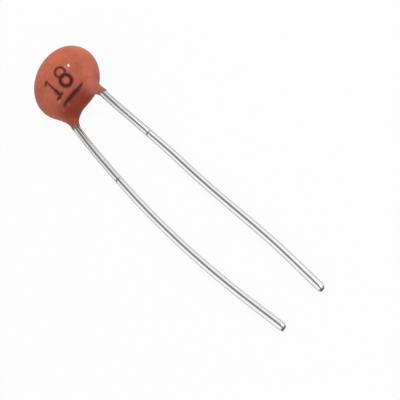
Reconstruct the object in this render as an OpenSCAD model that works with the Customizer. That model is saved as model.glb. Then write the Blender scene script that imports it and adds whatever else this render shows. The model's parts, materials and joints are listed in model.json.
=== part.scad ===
// Radial-lead ceramic disc capacitor, lying on its back with its leads run out along the bench.
// Z = 0 is the flat of the back, +Z points out of the printed face, the leads leave toward -Y.

/* [Coating] */
// Diameter of the dipped disc along the leads
body_d = 5.22; // [4.9:0.01:6.5]
// Width of the dipped disc, which is seldom quite round
body_w = 5.29; // [4.9:0.01:6.5]
// Thickness over the rim, before the crown
rim_t = 1.86; // [1.75:0.01:2.6]
// Extra thickness of each face at its middle
crown = 0.07; // [0.04:0.01:0.15]
// Resin worn flat where the back rests
back_flat = 0.03; // [0.01:0.01:0.04]
// Middle of the disc to the web between the leads
web_y = 2.47; // [2.35:0.01:2.6]
// Softness of the corners where the web meets the disc
web_blend = 0.43; // [0.1:0.01:0.6]

/* [Necks] */
// Middle of the disc to the end of the resin on the left lead
left_neck_y = 2.95; // [2.8:0.01:3.3]
// Middle of the disc to the end of the resin on the right lead
right_neck_y = 3.32; // [2.9:0.01:3.5]
// Length over which each neck tapers
neck_taper = 1.1; // [1:0.05:1.5]
// Resin left on the wire at the neck's end
neck_wall = 0.04; // [0.03:0.01:0.1]
// Least thickness of the resin on the wires inside the necks
wire_film = 0.02; // [0.01:0.005:0.04]
// Radius of the left neck at its root
left_root_r = 0.45; // [0.4:0.01:0.65]
// Radius of the right neck at its root
right_root_r = 0.6; // [0.4:0.01:0.65]
// How far the left neck's root is drawn in toward the web
left_draw = 0.27; // [0:0.01:0.3]
// How far the right neck's root is drawn in toward the web
right_draw = 0.22; // [0:0.01:0.3]
// Fillet of the left neck into the disc
left_fillet = 0.7; // [0.3:0.05:0.9]
// Fillet of the right neck into the disc
right_fillet = 0.4; // [0.3:0.05:0.9]

/* [Wafer] */
// Diameter of the ceramic wafer
wafer_d = 4.3; // [4.1:0.05:4.5]
// Thickness of the ceramic wafer
wafer_t = 0.25; // [0.15:0.01:0.3]
// Diameter of the silver electrodes
electrode_d = 3.9; // [3.6:0.05:4]
// Thickness of each silver electrode
electrode_t = 0.02; // [0.01:0.005:0.03]

/* [Solder] */
// Length of each solder fillet along its wire
solder_len = 2; // [1.5:0.05:2.2]
// Solder over the wire at the middle of the fillet
solder_wall = 0.14; // [0.1:0.01:0.16]
// Solder over the wire at the ends of the fillet
solder_edge = 0.02; // [0.01:0.005:0.04]
// Solder past the inner end of the wire
solder_cap = 0.08; // [0.04:0.01:0.15]
// Bare silver left round the solder
solder_margin = 0.04; // [0.02:0.01:0.1]

/* [Leads] */
// Diameter of the tinned wire
wire_d = 0.5; // [0.4:0.01:0.55]
// Distance between the leads, level with the longer neck's end
lead_pitch = 3.25; // [2.9:0.01:3.4]
// How far the pair of leads sits to the right of the middle
lead_shift = 0.1; // [-0.05:0.01:0.12]
// Resin between each wire and the electrode's face
wire_gap = 0.02; // [0.01:0.005:0.05]
// How much each wire leans in over the wafer's edge, in degrees
wire_lean = 1.5; // [0.5:0.1:2]
// How far each wire reaches past the middle of the wafer
wire_reach = 0.45; // [0.2:0.05:0.6]
// Left lead turned toward the right where it leaves, in degrees
left_splay = 0.2; // [-1:0.1:3]
// Right lead turned toward the right where it leaves, in degrees
right_splay = 6.8; // [4:0.1:8]

/* [Lead bends] */
// Length of the first bend, just past the neck
drop_bend_len = 1.8; // [1.2:0.1:2.4]
// Length of the last bend before the lead lies flat
land_bend_len = 3; // [2:0.1:4]
// Slope of the left lead down to the bench, in degrees
left_slope = 5; // [4:0.1:6]
// Slope of the right lead down to the bench, in degrees
right_slope = 12; // [10:0.1:14]
// Angle that the left lead turns through on its way down
left_drift = 4.7; // [0:0.1:6]
// Angle of the left lead's long bow along the bench
left_bow = 9.1; // [4:0.1:12]
// Length of the right lead's outward bend
right_bow_len = 4.5; // [3:0.1:5]
// Angle that the outward bend turns through
right_bow = 2.5; // [0:0.1:4]
// Length of the right lead's bend back
right_back_len = 3.5; // [2.5:0.1:4]
// Angle that the bend back turns through
right_back = 3.3; // [1:0.1:5]

/* [Tips] */
// Length of the left lead beyond its neck, along the wire
left_lead_len = 21.3; // [20:0.1:27]
// Length of the right lead beyond its neck, along the wire
right_lead_len = 20.9; // [20:0.1:27]
// Straight round length that ends each lead
tip_len = 2.5; // [2:0.1:3]

/* [Hidden] */
$fn = 64;

// The right lead lies on the front of the wafer and the left lead on its rear
LEFT = -1;
RIGHT = 1;

body_r = body_d / 2;
body_reach = max(body_d, body_w) / 2;
rim_r = rim_t / 2;
wire_r = wire_d / 2;
electrode_r = electrode_d / 2;
mid_z = rim_r + crown - back_flat;
pitch_y = max(left_neck_y, right_neck_y);

// Height of a wire's axis over the middle of the wafer, where it crosses the wafer's edge
stack_h = wafer_t / 2 + electrode_t + wire_gap + wire_r;
solder_r = wire_r + solder_wall;

// The resin ends and the formed part of each lead begins this far past the neck
neck_stub = 0.2;
// The formed run is this much thinner than the wire and starts this far inside its round ends,
// so that the round ends cover its facets
run_ease = 0.004;
run_seat = 0.05;
run_sides = 16;
run_step = 0.75;

// Sections of the coating's loft, points in each, and halvings that find each point
sections = 76;
ring = 36;
halvings = 16;
// The sections stand closer together over the shoulders, by this much in degrees
shoulder_crowd = 5;
slack = 1;
// A neck runs on along its wire to this many times its length, so that its end is cut clean
neck_run_on = 1.5;
// The film on each wire reaches this far up from the neck's end, and blends in over this much
sleeve_len = 2;
sleeve_blend = 0.05;

// ---- Where each wire runs -------------------------------------------------------------------

function splay(side) = side == RIGHT ? right_splay : left_splay;
function neck_y(side) = side == RIGHT ? right_neck_y : left_neck_y;
function root_r(side) = side == RIGHT ? right_root_r : left_root_r;
function root_draw(side) = side * (side == RIGHT ? right_draw : left_draw);

// Direction of a wire from its angle toward +X and its rise, both in degrees
function heading(turn, rise) = [sin(turn) * cos(rise), -cos(turn) * cos(rise), sin(rise)];
function wire_heading(side) = heading(splay(side), -side * wire_lean);

// Point on the straight part of a wire's axis, level with y
function wire_point(side, y) = [
    lead_shift + side * lead_pitch / 2 - (y + pitch_y) * tan(splay(side)),
    y,
    mid_z + side * (stack_h + (y + wafer_d / 2) / cos(splay(side)) * tan(wire_lean))
];
function neck_end(side) = wire_point(side, -neck_y(side));
function wire_start(side) = wire_point(side, wire_reach);
function run_start(side) = neck_end(side) + neck_stub * wire_heading(side);

// ---- Coating: a smooth blend of the disc, its web and two necks -----------------------------

function soft_min(a, b, k) = min(a, b) - pow(max(k - abs(a - b), 0), 2) / (4 * k);
function soft_max(a, b, k) = -soft_min(-a, -b, k);

// Distance from the disc's middle, with the width scaled to make the disc round
function round_r(p) = norm([p.x * body_d / body_w, p.y]);

// Distance outside the outline of the disc, cut straight at the web
function outline(p) = soft_max(round_r(p) - body_r, -p.y - web_y, web_blend);

// Half the thickness, crowned toward the middle of the face
function half_thickness(p) =
    rim_r + crown * max(1 - pow(round_r(p) / body_r, 2), 0);

function disc_field(p) =
    norm([max(outline(p) + rim_r, 0), p.z - mid_z]) - half_thickness(p);

// A neck tapers from its root, which is drawn in toward the web, to a thin skin on the wire
function taper_field(p, side) =
    let (tip = neck_end(side),
         root = tip - neck_taper * wire_heading(side) - [root_draw(side), 0, 0],
         along = tip - root,
         t = min(max((p - root) * along / (along * along), 0), neck_run_on),
         skin_r = wire_r + neck_wall,
         r = skin_r + (root_r(side) - skin_r) * pow(max(1 - t, 0), 2))
    norm(p - root - t * along) - r;

// The sleeve keeps at least a film of resin all round the wire
function sleeve_field(p, side) =
    let (tip = neck_end(side),
         along = wire_heading(side),
         t = min(max((p - tip) * along, -sleeve_len), neck_taper / 2))
    norm(p - tip - t * along) - wire_r - wire_film;

function neck_field(p, side) =
    soft_min(taper_field(p, side), sleeve_field(p, side), sleeve_blend);

function field(p) =
    soft_min(
        soft_min(disc_field(p), neck_field(p, LEFT), left_fillet),
        neck_field(p, RIGHT), right_fillet);

// Halves the way from a point inside to a point outside until it meets the skin
function boundary(inside, outside, n = halvings) =
    let (middle = (inside + outside) / 2)
    n == 0 ? inside
    : field(middle) < 0 ? boundary(middle, outside, n - 1)
    : boundary(inside, middle, n - 1);

// Upright half planes fan out from the middle of the line that joins the two neck ends,
// from the right neck over the disc to the left neck. Each cuts one closed section.
pivot = (neck_end(RIGHT) + neck_end(LEFT)) / 2;
half_span = norm([neck_end(RIGHT).x - pivot.x, neck_end(RIGHT).y - pivot.y]);
fan_tilt = atan2(neck_end(RIGHT).y - pivot.y, neck_end(RIGHT).x - pivot.x);
reach = -pivot.y;

function fan_angle(i) = 180 * i / sections + shoulder_crowd * sin(720 * i / sections);
function fan_point(angle, s, z) =
    [pivot.x + s * cos(angle + fan_tilt), pivot.y + s * sin(angle + fan_tilt), z];

function coating_section(i) =
    let (angle = fan_angle(i),
         side = cos(angle) > 0 ? RIGHT : LEFT,
         z = mid_z + (neck_end(side).z - mid_z) * pow(abs(cos(angle)), 3),
         s_mid = min(half_span / max(abs(cos(angle)), 0.01), reach),
         middle = fan_point(angle, s_mid, z),
         near = norm(boundary(middle, fan_point(angle, 0, z)) - fan_point(angle, 0, z)),
         far = norm(boundary(middle, fan_point(angle, reach + body_reach + slack, z))
                    - fan_point(angle, 0, z)),
         core = max((far - near) / 2 - rim_r, 0))
    [for (k = [0 : ring - 1])
        let (a = 360 * k / ring,
             s = (near + far) / 2 + core * cos(a),
             throw = rim_r + slack)
        boundary(fan_point(angle, s, z),
                fan_point(angle, s + throw * cos(a), z + throw * sin(a)))];

// Skins a list of closed rings that have the same number of points, with flat ends
module skin(rings) {
    n = len(rings[0]);
    last = len(rings) - 1;
    sides = [for (i = [0 : last - 1], k = [0 : n - 1], half = [0, 1])
        let (a = i * n + k, b = i * n + (k + 1) % n)
        half == 0 ? [a, b, b + n] : [a, b + n, a + n]];
    ends = [[for (k = [n - 1 : -1 : 0]) k], [for (k = [0 : n - 1]) last * n + k]];
    polyhedron(points = [for (loop = rings, p = loop) p], faces = concat(sides, ends));
}

module dipped_form() {
    width = 2 * (body_reach + slack);
    intersection() {
        skin([for (i = [sections : -1 : 0]) coating_section(i)]);
        translate([-width, -width, 0]) cube([2 * width, 2 * width, rim_t + 2 * crown + slack]);
    }
}

module coating() {
    color("#c05a40")
        difference() {
            dipped_form();
            stack();
            for (side = [LEFT, RIGHT]) {
                solder_blank(side);
                straight_wire(side);
            }
        }
}

// ---- Wafer and electrodes -------------------------------------------------------------------

module electrode(side) {
    base = side == RIGHT ? wafer_t / 2 : -wafer_t / 2 - electrode_t;
    translate([0, 0, mid_z + base]) cylinder(h = electrode_t, d = electrode_d);
}

module wafer() {
    translate([0, 0, mid_z - wafer_t / 2]) cylinder(h = wafer_t, d = wafer_d);
}

module stack() {
    wafer();
    electrode(LEFT);
    electrode(RIGHT);
}

module ceramic_disc() {
    color("#8f9a86") wafer();
}

module front_electrode() {
    color("#d9d9d6") electrode(RIGHT);
}

module rear_electrode() {
    color("#d9d9d6") electrode(LEFT);
}

// ---- Solder ---------------------------------------------------------------------------------

// Turns +Z onto a wire's heading
module along_wire(side, y) {
    translate(wire_point(side, y))
        rotate([0, 0, splay(side)])
            rotate([90 + side * wire_lean, 0, 0])
                children();
}

// Half outline of a spindle that is widest in the middle, for turning about its axis
module spindle_profile() {
    half = solder_len / 2;
    bulge = solder_wall - solder_edge;
    arc_r = (half * half + bulge * bulge) / (2 * bulge);
    intersection() {
        translate([solder_r - arc_r, 0]) circle(r = arc_r, $fn = 256);
        translate([0, -half]) square([solder_r, solder_len]);
    }
}

// The spindle of solder round a wire, kept to the silver that it wets
module solder_blank(side) {
    wet_h = 2 * (stack_h + solder_r);
    silver_z = mid_z + side * (wafer_t / 2 + electrode_t);
    intersection() {
        along_wire(side, wire_reach + solder_cap - solder_len / 2)
            rotate_extrude() spindle_profile();
        translate([0, 0, side == RIGHT ? silver_z : silver_z - wet_h])
            cylinder(h = wet_h, r = electrode_r - solder_margin);
    }
}

module solder(side) {
    difference() {
        solder_blank(side);
        straight_wire(side);
    }
}

module front_solder() {
    color("#b9bcbd") solder(RIGHT);
}

module rear_solder() {
    color("#b9bcbd") solder(LEFT);
}

// ---- Leads ----------------------------------------------------------------------------------

// The straight round wire from inside the body to just past the neck
module straight_wire(side) {
    along_wire(side, wire_reach)
        cylinder(h = norm(run_start(side) - wire_start(side)), d = wire_d);
}

// Height gained along a bend in which the rise changes steadily
function climb(bend_len, from, to) =
    bend_len * (cos(from) - cos(to)) / ((to - from) * PI / 180);

// Length of the straight slope that brings the lead down to lie on the bench
function slope_len(side) =
    let (slope = side == RIGHT ? right_slope : left_slope,
         start = run_start(side).z + climb(drop_bend_len, -side * wire_lean, -slope))
    (start + climb(land_bend_len, -slope, 0) - wire_r) / sin(slope);

// Steps of a formed lead: [length, turn toward +X, change of rise], in mm and degrees
function way_down(side) =
    let (slope = side == RIGHT ? right_slope : left_slope,
         drift = side == RIGHT ? 0 : left_drift,
         slope_share = slope_len(side) / (slope_len(side) + land_bend_len))
    [[drop_bend_len, 0, side * wire_lean - slope],
     [slope_len(side), drift * slope_share, 0],
     [land_bend_len, drift * (1 - slope_share), slope]];
// Length that lies on the bench between the landing and the straight tip
function bench_len(side, total) =
    total - neck_stub - drop_bend_len - slope_len(side) - land_bend_len - tip_len;
function left_steps() = concat(way_down(LEFT), [
    [bench_len(LEFT, left_lead_len), left_bow, 0]]);
function right_steps() = concat(way_down(RIGHT), [
    [right_bow_len, right_bow, 0],
    [bench_len(RIGHT, right_lead_len) - right_bow_len - right_back_len, 0, 0],
    [right_back_len, -right_back, 0]]);

// A station on a lead is [point, turn, rise]. One step goes along the chord of its arc.
function next_station(at, hop, turn, tilt) =
    let (bend = norm([turn, tilt]),
         chord = bend == 0 ? hop : hop * sin(bend / 2) / (bend / 2 * PI / 180))
    [at[0] + chord * heading(at[1] + turn / 2, at[2] + tilt / 2), at[1] + turn, at[2] + tilt];

function walk_step(at, step, n, k = 0) =
    k == n ? []
    : let (on = next_station(at, step[0] / n, step[1] / n, step[2] / n))
      concat([on], walk_step(on, step, n, k + 1));

function walk(stations, steps, i = 0) =
    i == len(steps) ? stations
    : let (n = max(1, ceil(steps[i][0] / run_step)))
      walk(concat(stations, walk_step(stations[len(stations) - 1], steps[i], n)), steps, i + 1);

function stations(side) =
    walk([[run_start(side), splay(side), -side * wire_lean]],
         side == RIGHT ? right_steps() : left_steps());

function wire_ring(at, r) =
    let (across = [cos(at[1]), sin(at[1]), 0], down = cross(across, heading(at[1], at[2])))
    [for (k = [0 : run_sides - 1])
        let (a = 360 * (k + 0.5) / run_sides)
        at[0] + r * (cos(a) * across + sin(a) * down)];

// The station slid along its own heading
function slid(at, by) = [at[0] + by * heading(at[1], at[2]), at[1], at[2]];

// A straight round end, a formed run whose ends sit inside the round wire, and a round tip
module lead(side) {
    way = stations(side);
    last = way[len(way) - 1];
    inner = [for (i = [1 : len(way) - 2]) way[i]];
    run = concat([slid(way[0], -run_seat)], inner, [slid(last, run_seat)]);
    straight_wire(side);
    skin([for (at = run) wire_ring(at, wire_r - run_ease)]);
    translate(last[0])
        rotate([0, 0, last[1]])
            rotate([90, 0, 0])
                cylinder(h = tip_len, d = wire_d);
}

module left_lead() {
    color("#c9ccd0") lead(LEFT);
}

module right_lead() {
    color("#c9ccd0") lead(RIGHT);
}

// ---- The part -------------------------------------------------------------------------------

coating();
ceramic_disc();
front_electrode();
rear_electrode();
front_solder();
rear_solder();
left_lead();
right_lead();
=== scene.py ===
"""Dressed model of a small dipped ceramic disc capacitor that lies on its back, leads run out.

Sizes are in millimetres and angles in degrees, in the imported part's own frame: Z = 0 is the flat
of the back, +Z points out of the printed face and the leads leave toward -Y.
"""

import json
import logging
import math
from dataclasses import dataclass
from enum import Enum
from functools import reduce
from typing import NamedTuple

import bpy
import numpy as np
from mathutils import Matrix, Vector


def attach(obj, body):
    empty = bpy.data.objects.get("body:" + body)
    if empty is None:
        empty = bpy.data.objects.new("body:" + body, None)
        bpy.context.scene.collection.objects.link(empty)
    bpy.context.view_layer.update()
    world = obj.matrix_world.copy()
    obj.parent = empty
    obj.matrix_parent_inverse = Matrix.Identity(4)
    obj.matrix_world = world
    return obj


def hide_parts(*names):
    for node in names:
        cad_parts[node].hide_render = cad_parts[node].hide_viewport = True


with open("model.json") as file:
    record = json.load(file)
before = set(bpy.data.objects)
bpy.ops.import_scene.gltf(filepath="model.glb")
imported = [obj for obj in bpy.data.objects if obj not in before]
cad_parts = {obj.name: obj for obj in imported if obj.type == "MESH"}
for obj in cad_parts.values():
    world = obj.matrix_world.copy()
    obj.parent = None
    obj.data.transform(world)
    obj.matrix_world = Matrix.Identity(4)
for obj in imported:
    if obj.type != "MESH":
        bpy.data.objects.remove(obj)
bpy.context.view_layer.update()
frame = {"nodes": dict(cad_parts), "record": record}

MM = 0.001
FRAME_PX = 400
SENSOR_MM = 36.0
LOG = logging.getLogger("disc_capacitor")

Socket = bpy.types.NodeSocket
Material = bpy.types.Material
Object = bpy.types.Object
Triple = tuple[float, float, float]
Span = tuple[float, float]


class Side(Enum):
    """Which lead: the left one is soldered under the wafer and the right one over it."""

    LEFT = -1
    RIGHT = 1

    @property
    def mount(self) -> str:
        """Name of the record's mount at the tip of this lead."""
        return f"{self.name.lower()}_lead_tip"


def pin_diameter(side: Side) -> float:
    """Diameter of a lead's wire as the record's mount gives it.

    Args:
        side: The lead whose mount is read.

    Returns:
        The diameter in millimetres.
    """
    mounts = {mount["name"]: mount for mount in frame["record"]["mounts"]}
    return 2 * mounts[side.mount]["dims"]["r_mm"]


def heading(turn: float, rise: float) -> np.ndarray:
    """Unit direction of a wire.

    Args:
        turn: Angle from -Y toward +X.
        rise: Angle above the bench.

    Returns:
        The direction as three numbers.
    """
    t, r = math.radians(turn), math.radians(rise)
    return np.array([math.sin(t) * math.cos(r), -math.cos(t) * math.cos(r), math.sin(r)])


def soft_min(a: np.ndarray, b: np.ndarray, k: float) -> np.ndarray:
    """Smaller of two distances, rounded over where they are within k of each other."""
    return np.minimum(a, b) - np.maximum(k - np.abs(a - b), 0) ** 2 / (4 * k)


def soft_max(a: np.ndarray, b: np.ndarray, k: float) -> np.ndarray:
    """Larger of two distances, rounded over where they are within k of each other."""
    return -soft_min(-a, -b, k)


class Fade(NamedTuple):
    """An eased step of a number, from to_low at low to to_high at high."""

    low: float
    high: float
    to_low: float = 0.0
    to_high: float = 1.0


@dataclass(frozen=True)
class Grain:
    """Noise in a finish: its features a millimetre, its detail, and how it is eased."""

    scale: float
    detail: float
    fade: Fade
    roughness: float = 0.5


def mesh_object(name: str, points: np.ndarray, faces: list[tuple[int, ...]] | None = None,
                edges: list[tuple[int, int]] | None = None) -> Object:
    """Makes a mesh object at the origin from points in millimetres.

    Args:
        name: Name of the object and of its mesh.
        points: One row of three numbers a point.
        faces: Corner numbers of each face.
        edges: End numbers of each loose edge.

    Returns:
        The new object, linked to the scene.
    """
    mesh = bpy.data.meshes.new(name)
    mesh.from_pydata((np.asarray(points) * MM).tolist(), edges or [], faces or [])
    mesh.validate()
    made = bpy.data.objects.new(name, mesh)
    bpy.context.collection.objects.link(made)
    return made


def add_attribute(made: Object, name: str, values: np.ndarray) -> None:
    """Stores one number a point on a mesh.

    Args:
        made: The mesh object.
        name: Name of the attribute.
        values: A number for each point.
    """
    layer = made.data.attributes.new(name, "FLOAT", "POINT")
    layer.data.foreach_set("value", np.asarray(values, dtype=np.float32))


class Graph:
    """A shader or geometry tree under construction, with short calls for the usual nodes."""

    def __init__(self, tree: bpy.types.NodeTree) -> None:
        """Takes the tree that the calls add nodes to."""
        self.tree = tree

    def feed(self, socket: Socket, value: object) -> None:
        """Links an input to another socket, or sets its value.

        Args:
            socket: The input.
            value: A socket to link from, or a value to set, such as three numbers of a colour.
        """
        if isinstance(value, Socket):
            self.tree.links.new(value, socket)
        else:
            socket.default_value = (*value, 1.0) if socket.type == "RGBA" else value

    def node(self, kind: str, inputs: dict[str | int, object] | None = None,
             **settings: object) -> bpy.types.Node:
        """Adds a node.

        Args:
            kind: The node's type.
            inputs: What each input takes, by its name or number, or None to leave it.
            settings: The node's own properties.

        Returns:
            The new node.
        """
        made = self.tree.nodes.new(kind)
        for key, value in settings.items():
            setattr(made, key, value)
        for key, value in (inputs or {}).items():
            if value is not None:
                self.feed(made.inputs[key], value)
        return made

    def out(self, kind: str, inputs: dict[str | int, object] | None = None,
            **settings: object) -> Socket:
        """Adds a node as node() does, and returns its first output."""
        return self.node(kind, inputs, **settings).outputs[0]

    def math(self, operation: str, *values: object, clamp: bool = False) -> Socket:
        """Adds a math node.

        Args:
            operation: What it does.
            values: Its one, two or three numbers.
            clamp: Whether the result is held between 0 and 1.

        Returns:
            The result.
        """
        return self.out("ShaderNodeMath", dict(enumerate(values)), operation=operation,
                        use_clamp=clamp)

    def times(self, a: object, b: object) -> Socket:
        """Multiplies two numbers."""
        return self.math("MULTIPLY", a, b)

    def vector(self, operation: str, a: object, b: object = None, scale: object = None) -> Socket:
        """Adds a vector math node.

        Args:
            operation: What it does.
            a: The first vector.
            b: The second vector, where there is one.
            scale: The number that a vector is scaled by.

        Returns:
            The resulting vector, or number where the operation gives one.
        """
        made = self.node("ShaderNodeVectorMath", {0: a, 1: b, "Scale": scale}, operation=operation)
        gives_number = operation in ("LENGTH", "DISTANCE", "DOT_PRODUCT")
        return made.outputs["Value" if gives_number else "Vector"]

    def band(self, value: object, low: float, high: float, to_low: float = 0.0,
             to_high: float = 1.0) -> Socket:
        """Eases a number, and holds it outside the band.

        Args:
            value: The number.
            low: Where the band starts.
            high: Where the band ends.
            to_low: The result at its start.
            to_high: The result at its end.

        Returns:
            The eased number.
        """
        return self.out("ShaderNodeMapRange", {
            "Value": value, "From Min": low, "From Max": high, "To Min": to_low,
            "To Max": to_high}, interpolation_type="SMOOTHSTEP")

    def noise(self, place: object, scale: object, detail: float, roughness: float = 0.5) -> Socket:
        """Noise of about 0.5 on average, with a number of features a millimetre."""
        return self.out("ShaderNodeTexNoise", {"Vector": place, "Scale": scale, "Detail": detail,
                                               "Roughness": roughness})

    def grain(self, place: object, grain: Grain) -> Socket:
        """Noise, eased as the grain says."""
        return self.band(self.noise(place, grain.scale, grain.detail, grain.roughness), *grain.fade)

    def mix(self, factor: object, a: object, b: object) -> Socket:
        """Blends from colour a to colour b."""
        return self.node("ShaderNodeMix", {0: factor, 6: a, 7: b}, data_type="RGBA").outputs[2]

    def split(self, place: object) -> tuple[Socket, ...]:
        """Splits a vector into its three numbers."""
        return tuple(self.node("ShaderNodeSeparateXYZ", {0: place}).outputs[:3])

    def join(self, x: object, y: object, z: object = 0.0) -> Socket:
        """Joins three numbers into a vector."""
        return self.out("ShaderNodeCombineXYZ", {0: x, 1: y, 2: z})


def shader_graph(name: str) -> tuple[Material, Graph, bpy.types.Node]:
    """Starts a material.

    Args:
        name: The material's name.

    Returns:
        The material, its graph and its Principled shader, already linked to the output.
    """
    material = bpy.data.materials.new(name)
    material.use_nodes = True
    graph = Graph(material.node_tree)
    shader = material.node_tree.nodes["Principled BSDF"]
    return material, graph, shader


def place_in_mm(graph: Graph) -> Socket:
    """Place on the object in millimetres, from Object coordinates."""
    coordinates = graph.node("ShaderNodeTexCoord").outputs["Object"]
    return graph.vector("SCALE", coordinates, scale=1 / MM)


def stored(graph: Graph, name: str) -> Socket:
    """One of the piece's own attributes, in a material."""
    return graph.node("ShaderNodeAttribute", attribute_name=name).outputs["Fac"]


def relief(graph: Graph, shader: bpy.types.Node, height: object, depth: float) -> None:
    """Gives a shader a bump.

    Args:
        graph: The material's graph.
        shader: The shader that takes the bump.
        height: The height, from 0 to 1.
        depth: What a height of 1 stands for, in millimetres.
    """
    bump = graph.out("ShaderNodeBump", {"Height": height, "Distance": depth * MM, "Strength": 1.0})
    graph.feed(shader.inputs["Normal"], bump)


class GeometryTree(Graph):
    """A geometry nodes tree with named inputs, run once on an object and turned into its mesh."""

    def __init__(self, name: str) -> None:
        """Starts a tree that takes geometry and gives geometry.

        Args:
            name: The tree's name.
        """
        super().__init__(bpy.data.node_groups.new(name, "GeometryNodeTree"))
        self.sockets: dict[str, str] = {}
        self.values: dict[str, object] = {}
        self.add_input("Geometry", "NodeSocketGeometry", None)
        self.tree.interface.new_socket("Geometry", in_out="OUTPUT",
                                       socket_type="NodeSocketGeometry")
        self.start = self.tree.nodes.new("NodeGroupInput")
        self.end = self.tree.nodes.new("NodeGroupOutput")

    def add_input(self, name: str, kind: str, value: object) -> None:
        """Adds a named input.

        Args:
            name: The input's name.
            kind: Its socket type.
            value: What the modifier sets it to.
        """
        socket = self.tree.interface.new_socket(name, in_out="INPUT", socket_type=kind)
        self.sockets[name] = socket.identifier
        self.values[name] = value

    def taken(self, name: str) -> Socket:
        """The named input, for use inside the tree."""
        return self.start.outputs[name]

    def read(self, name: str, data_type: str = "FLOAT") -> Socket:
        """One of the mesh's own attributes."""
        return self.out("GeometryNodeInputNamedAttribute", {"Name": name}, data_type=data_type)

    def store(self, geometry: Socket, name: str, value: Socket,
              data_type: str = "FLOAT") -> Socket:
        """Stores a value for each point and returns the geometry that has it."""
        return self.out("GeometryNodeStoreNamedAttribute",
                        {"Geometry": geometry, "Name": name, "Value": value},
                        data_type=data_type, domain="POINT")

    def finish(self, geometry: Socket, material: str = "Finish") -> None:
        """Ends the tree in Realize Instances and Set Material.

        Args:
            geometry: The geometry that the tree gives.
            material: Name of the input that holds the material.
        """
        real = self.out("GeometryNodeRealizeInstances", {"Geometry": geometry})
        painted = self.out("GeometryNodeSetMaterial",
                           {"Geometry": real, "Material": self.taken(material)})
        self.tree.links.new(painted, self.end.inputs[0])

    def run(self, made: Object) -> Object:
        """Runs the tree on an object and keeps the result as its plain mesh.

        Args:
            made: The object whose mesh goes in.

        Returns:
            A new object with the same name, in place of the old one.
        """
        modifier = made.modifiers.new(self.tree.name, "NODES")
        modifier.node_group = self.tree
        for name, value in self.values.items():
            if value is not None:
                modifier[self.sockets[name]] = value
        depsgraph = bpy.context.evaluated_depsgraph_get()
        mesh = bpy.data.meshes.new_from_object(made.evaluated_get(depsgraph),
                                               preserve_all_data_layers=True,
                                               depsgraph=depsgraph)
        name = made.name
        made.modifiers.clear()
        bpy.data.objects.remove(made)
        mesh.name = name
        result = bpy.data.objects.new(name, mesh)
        bpy.context.collection.objects.link(result)
        return result


@dataclass(frozen=True)
class Film:
    """How far the resin creeps on along a wire, and how much farther on one side of it."""

    length: float
    lean: float
    lean_turn: float


@dataclass(frozen=True)
class LeadShape:
    """How one lead leaves the body and runs to its tip.

    It comes down to the bench at its slope and turns by its drift on the way. Each bend on the
    bench is a length and a turn toward +X, and a bend that is alone takes the whole length.
    """

    side: Side
    neck_y: float
    root_r: float
    root_draw: float
    fillet: float
    splay: float
    slope: float
    drift: float
    length: float
    bench_bends: tuple[Span, ...]
    film: Film


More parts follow.
